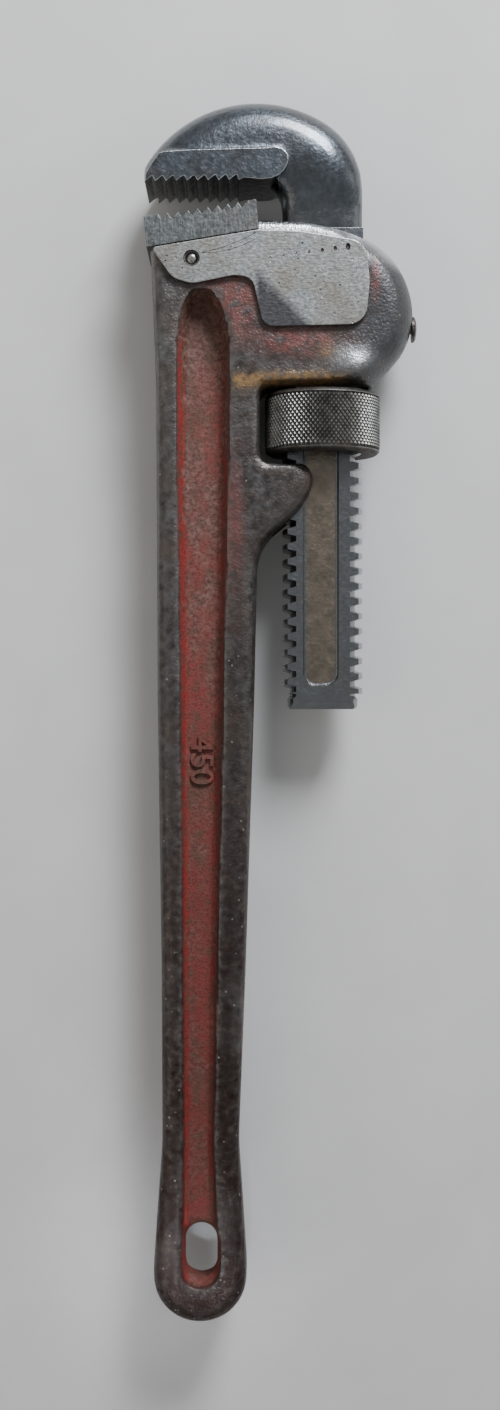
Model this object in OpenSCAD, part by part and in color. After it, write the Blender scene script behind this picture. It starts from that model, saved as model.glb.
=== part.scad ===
// Straight pipe wrench of the 450 mm (18 inch) size, lying on its side.
//
// The shank of the hook jaw runs along +Y, the mouth opens towards -X, and Z is the thickness.
// The origin is under the middle of the whole wrench, level with its lowest point.
// The modules are drawn in the drawing frame: X from the shank's axis, Y from the handle's
// end and Z from the mid-plane. in_place() moves the whole wrench to the origin.

/* [Shank and thread] */
// Width of the shank over the thread's crests
shank_w = 27.2; // [26.8:0.1:27.4]
// Thickness of the shank's flat bar
shank_t = 12.8; // [12.2:0.1:13]
// Pitch of the thread, five turns to the inch
pitch = 5.08; // [5:0.01:5.12]
// Depth of the thread
thread_depth = 2.5; // [2:0.1:2.6]
// Whole turns of thread on the shank
thread_turns = 22; // [21:1:22]
// Height of the shank's free end over the handle's end, jaws as drawn
shank_foot = 207.4; // [206:0.1:209]
// Width of the recessed panel on each flat of the shank
panel_w = 11.7; // [9:0.1:13]
// Depth of the recessed panel
panel_depth = 1; // [0.5:0.1:1.5]

/* [Nut] */
// Outside diameter of the adjusting nut
nut_d = 39.2; // [38.6:0.1:39.8]
// Length of the adjusting nut
nut_len = 20.6; // [19.6:0.1:21]
// Height of the nut's lower face over the handle's end
nut_foot = 293.7; // [293.4:0.1:294]
// Radial clearance of the nut's thread on the shank
nut_clearance = 0.35; // [0.3:0.05:0.45]

/* [Jaws] */
// Thickness of both toothed blocks
jaw_t = 30; // [28:0.5:31]
// Thickness of the hook jaw's arm
arm_t = 20.4; // [18:0.2:22]
// Radius of the hook's crown
crown_r = 44.2; // [44:0.1:44.4]
// Distance from one tooth tip to the next
tooth_pitch = 3.5; // [3.4:0.1:3.6]
// Depth of the teeth
tooth_depth = 1.4; // [1:0.1:1.6]
// Slope of the heel jaw's tooth row, rising towards the shank
heel_slope = 8.8; // [8:0.1:9]
// Thickness of the tongue that holds the heel jaw in the handle
tongue_t = 14.4; // [13:0.2:15]
// Diameter of the heel jaw's pin
heel_pin_d = 4.1; // [3.8:0.1:4.5]

/* [Handle and housing] */
// Thickness over the two ground pads of the housing
pad_t = 32.4; // [31.6:0.2:33]
// Thickness of the housing beside the pads
housing_t = 28.6; // [28:0.2:29.4]
// Thickness of the handle at its free end
handle_end_t = 18; // [17:0.2:19]
// Thickness of the handle below the window
handle_top_t = 23; // [22:0.2:24]
// Thickness of the web between the two rails
web_t = 9; // [8:0.2:10]
// Radius of the handle's round end
handle_end_r = 15.8; // [15.6:0.1:16]
// Width of the hang hole
hang_w = 10.8; // [10:0.1:11.4]
// Length of the hang hole
hang_len = 18.4; // [18:0.1:21]
// Clearance between the shank and the housing's passage
passage_clearance = 0.4; // [0.35:0.05:0.6]

/* [Spring] */
// Outside diameter of the coil spring
coil_d = 9; // [8.4:0.1:9.4]
// Diameter of the coil spring's wire
coil_wire = 1.2; // [1:0.1:1.3]
// Turns of the coil spring
coil_turns = 4.5; // [4:0.5:5]
// Thickness of the flat spring
leaf_t = 0.9; // [0.7:0.1:0.9]
// Diameter of the spring rivet's shaft
rivet_d = 3; // [2.6:0.1:3.4]

/* [Hidden] */
$fn = 48;
far = 60; // longer than any cut is deep

// Outer limits of the wrench in the drawing frame
nose_x = -61;       // the hook's nose, at the far left
rivet_x = 32;       // the rivet's head, at the far right
crown_c = [-22.5, 369]; // centre of the hook's crown
top_y = crown_c.y + crown_r;

shank_r = shank_w / 2;
root_r = shank_r - thread_depth;
thread_y = shank_foot + 4.6;  // where the first turn starts
neck_y = thread_y + thread_turns * pitch + 2; // where the plain neck starts
bar_h = shank_t / 2;
// One turn of the thread as [part of a pitch, crest or root]: two flanks, a crest and a root
turn_shape = [[0, 0], [0.15, 1], [0.5, 1], [0.65, 0]];

// The plain and toothed outlines of the jaws
hook_teeth_y = 383.1;                      // tips of the hook's teeth
heel_left = [-60.1, 371.5];                // left end of the heel's tooth row
heel_row = 38;                             // length of the heel's tooth row
heel_right = heel_left + heel_row * [cos(heel_slope), sin(heel_slope)];
seat_left = [-59.1, 361.3];                // the heel jaw's lower corners, on its seat
seat_right = [-21.7, 367.4];
heel_pin = [-44.1, 357.4];
tongue_r = 7.2;                            // round foot of the tongue, about the pin

// The handle's outline as [height, left edge, right edge, thickness, corner radius]
end_c = [-41.5, handle_end_r];
end_flat = 0.1; // the very end is flattened by this much
function end_half(y) = sqrt(handle_end_r ^ 2 - (handle_end_r - end_flat - y) ^ 2);
handle_end_rows = [for (y = [0, 1.2, 3.4, 6.6, 11])
    [y, end_c.x - end_half(y), end_c.x + end_half(y), handle_end_t - 3 * (1 - y / 11), 3]];
handle_rows = [
    [20, -57.3, -25.7, handle_end_t, 4], [40.5, -55.8, -27, handle_end_t, 4],
    [61, -54.3, -28.4, handle_end_t + 0.3, 4], [122, -54.6, -26, handle_end_t + 1.2, 4],
    [210, -55.9, -23.2, handle_top_t - 1.6, 4.4], [252, -56.1, -22.4, handle_top_t - 0.4, 4.6]];
horn_rows = [
    [257.3, -56.1, -22.3, handle_top_t, 4.6], [262, -56.1, -20.8, handle_top_t, 4.6],
    [266, -56.1, -18.1, handle_top_t, 5], [270, -56.1, -13, handle_top_t, 5],
    [274.7, -56.1, -8, handle_top_t + 0.4, 5], [281, -56.1, -4.6, handle_top_t + 0.8, 5],
    [285, -56.2, -3.2, handle_top_t + 1.2, 5], [288, -56.2, -4.6, handle_top_t + 1.4, 5],
    [290, -56.2, -7.4, handle_top_t + 1.6, 5]];
housing_rows = [
    [317, -56.4, 17.6, housing_t - 2.4, 6], [323, -56.6, 23, housing_t - 1, 7],
    [328, -56.7, 27.4, housing_t, 7], [334, -56.8, 29.8, housing_t, 7],
    [341, -56.9, 30.8, housing_t, 7], [347, -57, 29.9, housing_t, 7],
    [354.4, -57.5, 27.2, housing_t, 7], [361, -58.4, 22.9, housing_t, 6.5],
    [365.6, -58.9, 17, housing_t - 0.6, 6], [369.4, -58.9, 6.4, housing_t - 2.2, 5],
    [371.4, -58.9, -8, housing_t - 4.4, 4], [372.3, -58.9, -19.5, housing_t - 7, 3]];

// The window's corners as [x, y, corner radius]; it is open on the right
window_foot = 290;
window_top = 316;
window = [[-21.3, window_foot, 3.4], [far, window_foot, 0], [far, window_top, 0],
          [-21.3, window_top, 3.4]];

// The ground pad's corners, from its left end clockwise
pad = [[-57.6, 361, 1], [-22.2, 366.9, 3], [-8, 366.5, 20], [13.6, 363, 6], [15.3, 350, 20],
       [14, 335.4, 6], [-20.3, 334.6, 4], [-23.9, 350.9, 5], [-30, 351.7, 6], [-44, 348.8, 8],
       [-50.6, 350.8, 6]];

// The passage of the shank through the housing leans back, for the jaw to rock
rim_y = 372.3; // top of the housing
passage_left = -shank_r - passage_clearance;
passage_right_foot = shank_r + passage_clearance;
passage_right_top = shank_r + 3.5;
slot_h = bar_h + passage_clearance;
slot_floor_x = -17.3; // the fork's slot reaches this far, for the shank to rock back

// The spring behind the shank
spring_y = 336.5;
leaf_x = shank_r + 0.35;
leaf_w = 10;
leaf_y = [318, 356];
pocket_end_x = 24.2;
coil_r = (coil_d - coil_wire) / 2;
coil_x = [leaf_x + leaf_t + 0.1 + coil_wire / 2, pocket_end_x - 0.1 - coil_wire / 2];
rivet_inner_x = leaf_x + leaf_t + 1.8;
housing_back_x = 30.2;
rivet_head_r = 4.4;

// ---------------------------------------------------------------- shared shapes

function unit(v) = v / norm(v);

// Points of a round corner of radius r at p, between the corners a and b
function round_corner(a, p, b, r, steps = 6) =
    r == 0 ? [p] :
    let (u = unit(a - p), v = unit(b - p), half = acos(u * v) / 2,
         c = p + unit(u + v) * r / sin(half),
         s = p + u * r / tan(half) - c, e = p + v * r / tan(half) - c,
         s_angle = atan2(s.y, s.x), raw = atan2(e.y, e.x) - s_angle,
         turn = raw > 180 ? raw - 360 : raw < -180 ? raw + 360 : raw)
    [for (i = [0:steps]) c + r * [cos(s_angle + turn * i / steps), sin(s_angle + turn * i / steps)]];

// Outline through corners given as [x, y, corner radius]
function rounded(corners) =
    let (n = len(corners), at = [for (c = corners) [c.x, c.y]])
    [for (i = [0:n - 1]) each round_corner(at[(i + n - 1) % n], at[i], at[(i + 1) % n], corners[i].z)];

function arc(c, r, from, to, steps) =
    [for (i = [0:steps]) let (a = from + (to - from) * i / steps) c + r * [cos(a), sin(a)]];

// Outline moved inwards by d, for an outline whose points run anticlockwise
function inset(points, d) =
    let (n = len(points))
    [for (i = [0:n - 1])
        let (u = unit(points[i] - points[(i + n - 1) % n]), v = unit(points[(i + 1) % n] - points[i]),
             m = unit(u + v))
        points[i] + d * [-m.y, m.x] / max(0.5, m * v)];

// Plate with the given outline and half thickness, about the mid-plane
module plate(outline, half) {
    translate([0, 0, -half]) linear_extrude(2 * half) polygon(outline);
}

// The same plate, but from z = low to z = high
module slab(outline, low, high) {
    translate([0, 0, low]) linear_extrude(high - low) polygon(outline);
}

// Closed skin through sections that have the same number of points, with flat ends
module skin(sections) {
    n = len(sections[0]);
    m = len(sections);
    sides = [for (k = [0:m - 2], i = [0:n - 1])
        let (a = k * n + i, b = k * n + (i + 1) % n, c = a + n, d = b + n)
        each [[a, b, d], [a, d, c]]];
    first = [for (i = [1:n - 2]) [0, i + 1, i]];
    last = [for (i = [1:n - 2]) [(m - 1) * n, (m - 1) * n + i, (m - 1) * n + i + 1]];
    polyhedron([for (s = sections) each s], concat(sides, first, last));
}

// Section of the casting: a rectangle with round corners across Y, from a row of the tables above
function casting_section(row) =
    let (x0 = row[1], x1 = row[2], h = row[3] / 2, r = min(row[4], (x1 - x0) / 2 - 0.05, h - 0.05))
    [for (q = [[x1 - r, h - r, 0], [x0 + r, h - r, 90], [x0 + r, r - h, 180], [x1 - r, r - h, 270]],
          a = [0:30:90])
        [q.x + r * cos(q.z + a), row[0], q.y + r * sin(q.z + a)]];

module in_place() {
    translate([-(nose_x + rivet_x) / 2, -top_y / 2, nut_d / 2]) children();
}

// ---------------------------------------------------------------- handle and housing

// Round-ended groove between the rails on one side, wider towards the housing
module channel(side) {
    outline = rounded([[-48.2, 12.2, 6], [-34.6, 12.2, 6], [-36.7, 61, 30], [-34, 210, 30],
                       [-32.6, 296, 30], [-32.8, 331, 20], [-35.2, 342, 6], [-39, 346.8, 3],
                       [-43.2, 346.6, 3], [-46.2, 342, 6], [-47.9, 331, 20], [-48.3, 296, 30],
                       [-47.6, 210, 30], [-47.2, 61, 30]]);
    wall = 0.9; // the groove's walls lean out by this much
    if (side > 0) {
        slab(outline, web_t / 2, far);
        slab(inset(outline, -wall), web_t / 2 + 2.6, far);
    } else {
        slab(outline, -far, -web_t / 2);
        slab(inset(outline, -wall), -far, -web_t / 2 - 2.6);
    }
}

module hang_hole() {
    centre = [-41.1, 24.3];
    for (y = [-1, 1]) {
        translate([centre.x, centre.y + y * (hang_len - hang_w) / 2, 0])
            cylinder(d = hang_w, h = far, center = true);
    }
    translate([centre.x, centre.y, 0]) cube([hang_w, hang_len - hang_w, far], center = true);
}

// Space of the heel jaw's tongue between the housing's two cheeks
function tongue_outline(grow) = concat(
    [seat_right + [-6, 1.5], seat_left + [10, 5]],
    arc(heel_pin, tongue_r + grow, 180 + heel_slope, 360 + heel_slope, 12));

module handle_housing() color([0.28, 0.27, 0.26]) in_place() {
    seat_cut = [2 * seat_left - seat_right, seat_right, seat_right + [0, far],
                2 * seat_left - seat_right + [0, far]];
    passage = [[passage_left, window_top - 1], [passage_right_foot, window_top - 1],
               [passage_right_top, rim_y], [passage_right_top, top_y], [passage_left, top_y]];
    leaf_room = [[shank_r, window_top - 1], [leaf_x + leaf_t + 0.5, window_top - 1],
                 [leaf_x + leaf_t + 3.6, 371], [shank_r, 371]];
    difference() {
        union() {
            difference() {
                skin([for (row = concat(handle_end_rows, handle_rows, horn_rows, housing_rows))
                    casting_section(row)]);
                channel(1);
                channel(-1);
            }
            plate(rounded(pad), pad_t / 2);
        }
        hang_hole();
        plate(rounded(window), far);
        plate(seat_cut, far);
        plate(passage, slot_h);
        plate([[slot_floor_x, 240], [far, 240], [far, window_foot + 1], [slot_floor_x, window_foot + 1]],
              slot_h);
        plate(leaf_room, leaf_w / 2 + 0.5);
        plate(tongue_outline(0.12), tongue_t / 2 + 0.12);
        translate([heel_pin.x, heel_pin.y, 0]) cylinder(r = heel_pin_d / 2 + 0.02, h = far, center = true);
        translate([shank_r, spring_y, 0]) rotate([0, 90, 0])
            cylinder(r = coil_d / 2 + 0.4, h = pocket_end_x - shank_r);
        translate([shank_r, spring_y, 0]) rotate([0, 90, 0])
            cylinder(r = rivet_d / 2 + 0.02, h = far);
        // spot face under the rivet's head
        translate([housing_back_x, spring_y, 0]) rotate([0, 90, 0]) cylinder(r = rivet_head_r + 0.3, h = far);
    }
}

// ---------------------------------------------------------------- hook jaw

// Edge of the thread at height z over the mid-plane, as [x, y] from the foot upwards.
// The right and left edges are half a turn apart, and each turn rises round a right-hand helix.
function thread_edge(z, right) =
    let (side = right ? -1 : 1, angle = asin(z / shank_r), lift = side * pitch * angle / 360,
         foot = shank_foot + max(0, abs(z) - bar_h + 2.6))
    concat(
        [[sqrt(root_r ^ 2 - z ^ 2) - 2.5, foot], [sqrt(root_r ^ 2 - z ^ 2), foot + 2.2]],
        [for (t = [0:thread_turns - 1], s = turn_shape)
            let (up = right ? s[1] : 1 - s[1], r = root_r + thread_depth * up)
            [sqrt(r ^ 2 - z ^ 2), thread_y + lift + pitch * (t + s[0])]],
        [[sqrt(root_r ^ 2 - z ^ 2), neck_y - 1.4], [sqrt(shank_r ^ 2 - z ^ 2), neck_y],
         [sqrt(shank_r ^ 2 - z ^ 2), neck_y + 2]]);

// The threaded bar: one layer of points for each height, closed by strips from edge to edge
module threaded_bar() {
    layers = 7;
    heights = [for (i = [0:layers - 1]) -bar_h + shank_t * i / (layers - 1)];
    edge_n = len(thread_edge(0, true));
    n = 2 * edge_n;
    points = [for (z = heights)
        let (right = thread_edge(z, true), left = thread_edge(z, false))
        each concat([for (p = right) [p.x, p.y, z]],
                    [for (i = [edge_n - 1:-1:0]) [-left[i].x, left[i].y, z]])];
    sides = [for (k = [0:layers - 2], i = [0:n - 1])
        let (a = k * n + i, b = k * n + (i + 1) % n, c = a + n, d = b + n)
        each [[a, d, b], [a, c, d]]];
    foot_cap = [for (i = [0:edge_n - 2]) [i, i + 1, n - 2 - i, n - 1 - i]];
    top = (layers - 1) * n;
    top_cap = [for (i = [0:edge_n - 2]) [top + i, top + n - 1 - i, top + n - 2 - i, top + i + 1]];
    polyhedron(points, concat(sides, foot_cap, top_cap));
}

// Row of teeth from one point to another, with the roots to the left of the direction of travel
function teeth(from, to, depth, count) =
    let (d = (to - from) / count, away = unit([-d.y, d.x]))
    [for (i = [0:count - 1]) each [from + d * (i + 0.1), from + d * (i + 0.75) + depth * away]];

// The small arc of the hook's back meets the crown and the neck's right side smoothly
back_y = 383.5;
back_r = let (w = shank_r - crown_c.x, h = back_y - crown_c.y) (h ^ 2 + w ^ 2 - crown_r ^ 2) / (2 * (w - crown_r));
back_c = [shank_r - back_r, back_y];
meet_angle = atan2(back_c.y - crown_c.y, back_c.x - crown_c.x);
arm_outline = concat(arc(back_c, back_r, 0, meet_angle, 8), arc(crown_c, crown_r, meet_angle + 4, 146, 14),
    [[nose_x + 0.3, 390.8], [nose_x, 387.6], [nose_x + 0.8, 385.4], [-14.4, 385.4], [shank_r, 380]]);

module hook_jaw() color([0.25, 0.26, 0.28]) in_place() {
    row_left = [nose_x + 1, hook_teeth_y];
    row_right = row_left + [9 * tooth_pitch, 0.5];
    block = concat(
        [[-11.9, 390]], arc([-17, 390], 4.7, 40, 90, 3), [[-55.3, 393.1]],
        [[nose_x + 2.4, 389.4], [nose_x + 1, 385.6]],
        teeth(row_left, row_right, tooth_depth, 9), [row_right], arc([-17, 389], 5.1, 280, 350, 5));
    difference() {
        union() {
            threaded_bar();
            plate([[shank_r, neck_y + 0.5], [shank_r, back_y], [-18, 391], [-shank_r, 384],
                   [-shank_r, neck_y + 0.5]], bar_h);
            hull() {
                plate(arm_outline, arm_t / 2 - 4);
                plate(inset(arm_outline, 1.4), arm_t / 2 - 1.6);
                plate(inset(arm_outline, 4.4), arm_t / 2);
            }
            plate(block, jaw_t / 2);
        }
        for (side = [0, 1]) mirror([0, 0, side]) {
            slab(rounded([[-6.6, shank_foot + 8, 4], [-6.6 + panel_w, shank_foot + 8, 4],
                          [-6.6 + panel_w, neck_y - 4, 4], [-6.6, neck_y - 4, 4]]),
                 bar_h - panel_depth, far);
        }
    }
}

// ---------------------------------------------------------------- heel jaw and pin

module heel_jaw() color([0.36, 0.35, 0.34]) in_place() {
    land = 5; // the flat lip before the first tooth
    along = [cos(heel_slope), sin(heel_slope)];
    row = teeth(heel_right, heel_left + land * along, tooth_depth, 9);
    difference() {
        union() {
            plate(concat([seat_left, seat_right, heel_right], row,
                         [heel_left + land * along, heel_left]), jaw_t / 2);
            plate(tongue_outline(0), tongue_t / 2);
        }
        translate([heel_pin.x, heel_pin.y, 0]) cylinder(r = heel_pin_d / 2 + 0.02, h = far, center = true);
    }
}

module heel_jaw_pin() color([0.4, 0.38, 0.35]) in_place() {
    length = pad_t - 1;
    translate([heel_pin.x, heel_pin.y, 0]) {
        cylinder(d = heel_pin_d, h = length - 1, center = true);
        cylinder(d = heel_pin_d - 1, h = length, center = true);
    }
}

// ---------------------------------------------------------------- adjusting nut

// Core of the nut's thread: the shank's thread grown by the clearance, as one long helical screw.
// It is a grid of columns round the axis and rows up the helix, and its seam joins the last
// column of a row to the first column of the row one turn higher.
module thread_core(y_from, turns) {
    columns = 24;
    flank_gap = 0.04; // part of a pitch left free on each flank
    shape = [for (s = turn_shape) [s[0] + (s[0] < 0.3 ? -flank_gap : flank_gap), s[1]]];
    rows = 4 * turns;
    function row_y(i) = y_from + pitch * (floor(i / 4) + shape[i % 4][0]);
    function row_r(i) = root_r + thread_depth * shape[i % 4][1] + nut_clearance;
    grid = [for (i = [0:rows - 1], j = [0:columns - 1])
        let (a = -360 * j / columns) [row_r(i) * cos(a), row_y(i) + pitch * j / columns, row_r(i) * sin(a)]];
    low_end = len(grid);
    high_end = low_end + 1;
    function at(i, j) = j < columns ? i * columns + j : (i + 4) * columns + j - columns;
    walls = [for (i = [0:rows - 6], j = [0:columns - 1]) each
        [[at(i, j), at(i + 1, j), at(i + 1, j + 1)], [at(i, j), at(i + 1, j + 1), at(i, j + 1)]]];
    last = rows - 5;
    low_cap = concat([for (j = [0:columns - 1]) [low_end, at(0, j), at(0, j + 1)]],
                     [for (i = [0:3]) [low_end, at(i + 1, 0), at(i, 0)]]);
    high_cap = concat([for (j = [0:columns - 1]) [high_end, at(last, j + 1), at(last, j)]],
                      [for (i = [0:3]) [high_end, at(last + i, 0), at(last + i + 1, 0)]]);
    polyhedron(concat(grid, [[0, row_y(0) + pitch / 2, 0], [0, row_y(last) + pitch / 2, 0]]),
               concat(walls, low_cap, high_cap));
}

module adjusting_nut() color([0.3, 0.3, 0.3]) in_place() {
    rim = 1.2;
    thread_from = thread_y + pitch * floor((nut_foot - thread_y) / pitch - 2);
    difference() {
        translate([0, nut_foot, 0]) rotate([-90, 0, 0]) rotate_extrude($fn = 96)
            polygon([[0, 0], [nut_d / 2 - rim, 0], [nut_d / 2, rim], [nut_d / 2, nut_len - rim],
                     [nut_d / 2 - rim, nut_len], [0, nut_len]]);
        thread_core(thread_from, 9);
    }
}

// ---------------------------------------------------------------- springs and rivet

// Wire swept along a helix about X
module coil_spring() color([0.45, 0.45, 0.46]) in_place() {
    steps = 14;
    rings = coil_turns * steps;
    wire_n = 8;
    rise = (coil_x[1] - coil_x[0]) / rings;
    skin([for (k = [0:rings]) [for (i = [0:wire_n - 1])
        let (turn = 360 * k / steps, w = 360 * i / wire_n, r = coil_r + coil_wire / 2 * cos(w))
        [coil_x[0] + rise * k - coil_wire / 2 * sin(w), spring_y + r * cos(turn), r * sin(turn)]]]);
}

module flat_spring() color([0.45, 0.45, 0.46]) in_place() {
    bend = 0.35; // both ends are set back from the shank
    translate([0, 0, -leaf_w / 2]) linear_extrude(leaf_w)
        polygon([[leaf_x + bend, leaf_y[0]], [leaf_x + bend + leaf_t, leaf_y[0]],
                 [leaf_x + leaf_t, leaf_y[0] + 4], [leaf_x + leaf_t, leaf_y[1] - 4],
                 [leaf_x + bend + leaf_t, leaf_y[1]], [leaf_x + bend, leaf_y[1]],
                 [leaf_x, leaf_y[1] - 4], [leaf_x, leaf_y[0] + 4]]);
}

module spring_rivet() color([0.35, 0.33, 0.32]) in_place() {
    head = rivet_x - housing_back_x;
    translate([0, spring_y, 0]) rotate([0, 90, 0]) {
        translate([0, 0, rivet_inner_x])
            cylinder(d = rivet_d, h = housing_back_x - rivet_inner_x + head / 2);
        translate([0, 0, housing_back_x]) rotate_extrude()
            polygon(concat([[0, 0], [rivet_head_r, 0], [rivet_head_r, head * 0.35]],
                           [for (a = [20:17.5:90]) [rivet_head_r * cos(a), head * (0.35 + 0.65 * sin(a))]]));
    }
}

handle_housing();
hook_jaw();
heel_jaw();
heel_jaw_pin();
adjusting_nut();
coil_spring();
flat_spring();
spring_rivet();
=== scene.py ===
import math

import bmesh
import bpy
import numpy as np
from mathutils import Matrix, Vector


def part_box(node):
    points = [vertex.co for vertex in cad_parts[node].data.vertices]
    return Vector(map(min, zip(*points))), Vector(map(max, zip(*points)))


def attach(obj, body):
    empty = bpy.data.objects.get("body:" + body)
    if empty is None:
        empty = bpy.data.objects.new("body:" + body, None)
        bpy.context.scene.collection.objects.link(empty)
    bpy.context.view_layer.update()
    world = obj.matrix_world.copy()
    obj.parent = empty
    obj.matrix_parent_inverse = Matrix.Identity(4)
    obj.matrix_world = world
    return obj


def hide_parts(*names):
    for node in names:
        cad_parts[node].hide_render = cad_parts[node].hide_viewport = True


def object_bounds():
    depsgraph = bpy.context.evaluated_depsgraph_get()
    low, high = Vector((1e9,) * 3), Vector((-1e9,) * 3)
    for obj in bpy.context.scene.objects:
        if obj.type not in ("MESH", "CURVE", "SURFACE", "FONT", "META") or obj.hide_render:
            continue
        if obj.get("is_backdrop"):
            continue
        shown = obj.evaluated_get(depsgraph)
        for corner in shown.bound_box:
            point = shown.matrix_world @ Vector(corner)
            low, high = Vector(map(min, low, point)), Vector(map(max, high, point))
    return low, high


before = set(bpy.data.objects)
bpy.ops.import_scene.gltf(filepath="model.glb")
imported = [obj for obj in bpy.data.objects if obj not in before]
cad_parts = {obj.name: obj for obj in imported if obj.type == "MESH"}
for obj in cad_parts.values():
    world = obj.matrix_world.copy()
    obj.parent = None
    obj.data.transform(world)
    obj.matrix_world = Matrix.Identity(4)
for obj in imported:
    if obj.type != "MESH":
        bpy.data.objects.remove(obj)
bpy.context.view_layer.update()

# ------------------------------------------------------------------ the handle and its housing
# One grey iron casting: an I-beam handle with a round end, a horn under the window, and the
# housing that guides the shank. It was sand cast, its two pads were ground flat, and the red
# enamel that once covered it is worn down to a film in the grooves.

# The shapes are drawn in millimetres: X from the shank's axis, Y from the handle's end, Z from
# the middle plane. The nut gives the shank's axis, and the housing gives the handle's end.
nut_low, nut_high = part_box("adjusting_nut")
drawing_zero = Vector(((nut_low.x + nut_high.x) / 2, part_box("handle_housing")[0].y,
                       (nut_low.z + nut_high.z) / 2))
MM = 0.001


def place(piece):
    """Takes a piece from millimetres in the drawing to its place on the wrench."""
    piece.data.transform(Matrix.Translation(drawing_zero) @ Matrix.Scale(MM, 4))


def arc(centre, radius, start, stop, steps):
    """Points along an arc, between two angles in degrees."""
    angles = [math.radians(start + (stop - start) * i / steps) for i in range(steps + 1)]
    return [(centre[0] + radius * math.cos(a), centre[1] + radius * math.sin(a)) for a in angles]


def rounded(corners, steps=5):
    """Outline through corners (x, y, radius), each turned into a short arc."""
    outline = []
    for i, (x, y, radius) in enumerate(corners):
        here = Vector((x, y))
        before = Vector(corners[i - 1][:2]) - here
        after = Vector(corners[(i + 1) % len(corners)][:2]) - here
        half = before.angle(after) / 2
        reach = min(radius / math.tan(half), 0.48 * before.length, 0.48 * after.length)
        radius = reach * math.tan(half)
        before.normalize()
        after.normalize()
        if radius < 0.05 or half > math.radians(89.5):
            outline.append((x, y))
            continue
        centre = here + (before + after).normalized() * radius / math.sin(half)
        first, last = here + before * reach - centre, here + after * reach - centre
        turn = math.atan2(first.x * last.y - first.y * last.x, first.dot(last))
        angle = math.atan2(first.y, first.x)
        outline += [(centre.x + radius * math.cos(angle + turn * k / steps),
                     centre.y + radius * math.sin(angle + turn * k / steps))
                    for k in range(steps + 1)]
    return outline


def inset(outline, depth, shares=None):
    """Moves an anticlockwise outline inwards, each point by its share of the depth."""
    moved = []
    for i, point in enumerate(outline):
        here = Vector(point)
        into = (here - Vector(outline[i - 1])).normalized()
        out = (Vector(outline[(i + 1) % len(outline)]) - here).normalized()
        mid = (into + out).normalized()
        step = depth * (shares[i] if shares else 1) / max(0.5, mid.dot(out))
        moved.append((here.x - mid.y * step, here.y + mid.x * step))
    return moved


def stack(name, rings):
    """Solid extruded from ring to ring. A ring is (outline, height), all with as many points."""
    bpy.ops.object.select_all(action="DESELECT")
    outline, height = rings[0]
    bpy.ops.mesh.primitive_circle_add(vertices=len(outline), radius=1, fill_type="NGON")
    piece = bpy.context.object
    piece.name = piece.data.name = name
    for vertex, (x, y) in zip(piece.data.vertices, outline):
        vertex.co = (x, y, height)
    bpy.ops.object.mode_set(mode="EDIT")
    bpy.ops.mesh.select_mode(type="FACE")
    bpy.ops.mesh.select_all(action="SELECT")
    for next_outline, next_height in rings[1:]:
        bpy.ops.mesh.extrude_region_move(TRANSFORM_OT_translate={"value": (0, 0, 1)})
        work = bmesh.from_edit_mesh(piece.data)
        old = np.array(outline)
        for vertex in [v for v in work.verts if v.select]:
            nearest = np.argmin(((old - (vertex.co.x, vertex.co.y)) ** 2).sum(axis=1))
            vertex.co = (*next_outline[nearest], next_height)
        bmesh.update_edit_mesh(piece.data)
        outline = next_outline
    bpy.ops.mesh.select_all(action="SELECT")
    bpy.ops.mesh.normals_make_consistent(inside=False)
    bpy.ops.object.mode_set(mode="OBJECT")
    return piece


def plate(name, outline, half, edge=0.0, steps=1, shares=None, drop=None):
    """Plate about the middle plane. Its rims are rounded by `edge` in plan and `drop` in height."""
    if not edge:
        return stack(name, [(outline, -half), (outline, half)])
    turns = [math.radians(90 * k / steps) for k in range(steps + 1)]
    lower = [(inset(outline, edge * (1 - math.sin(t)), shares),
              -half + (drop or edge) * (1 - math.cos(t))) for t in turns]
    return stack(name, lower + [(ring, -height) for ring, height in reversed(lower)])


def rod(name, radius, start, stop, sides=48):
    """Round bar from one point to another."""
    start, stop = Vector(start), Vector(stop)
    bpy.ops.object.select_all(action="DESELECT")
    bpy.ops.mesh.primitive_cylinder_add(vertices=sides, radius=radius, depth=(stop - start).length)
    piece = bpy.context.object
    piece.name = piece.data.name = name
    turn = Vector((0, 0, 1)).rotation_difference(stop - start).to_matrix().to_4x4()
    piece.data.transform(Matrix.Translation((start + stop) / 2) @ turn)
    return piece


def modify(piece, kind, **settings):
    """Adds a modifier to a piece and applies it."""
    bpy.context.view_layer.objects.active = piece
    modifier = piece.modifiers.new(kind, kind)
    for key, value in settings.items():
        setattr(modifier, key, value)
    bpy.ops.object.modifier_apply(modifier=modifier.name)


def combine(piece, tool, how="DIFFERENCE"):
    """Cuts a tool out of a piece, joins it on, or keeps only what both share."""
    modify(piece, "BOOLEAN", operation=how, solver="MANIFOLD", object=tool)
    bpy.data.objects.remove(tool)


def smooth(piece, angle=35):
    """Shades a piece smoothly, apart from edges sharper than the angle, and keeps flats flat."""
    bpy.ops.object.select_all(action="DESELECT")
    piece.select_set(True)
    bpy.context.view_layer.objects.active = piece
    bpy.ops.object.shade_smooth_by_angle(angle=math.radians(angle))
    modify(piece, "WEIGHTED_NORMAL", keep_sharp=True, weight=80)


def points(piece):
    """Places of a piece's vertices as one table."""
    table = np.empty(3 * len(piece.data.vertices))
    piece.data.vertices.foreach_get("co", table)
    return table.reshape(-1, 3)


def move_points(piece, table):
    piece.data.vertices.foreach_set("co", table.ravel())
    piece.data.update()


def brush(piece, name, strength, domain="POINT"):
    """Stores a mask from 0 to 1 on a piece's vertices or faces, for its finish to read."""
    layer = piece.data.attributes.new(name, "FLOAT", domain)
    layer.data.foreach_set("value", np.clip(strength, 0, 1).astype(np.float32))


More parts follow.
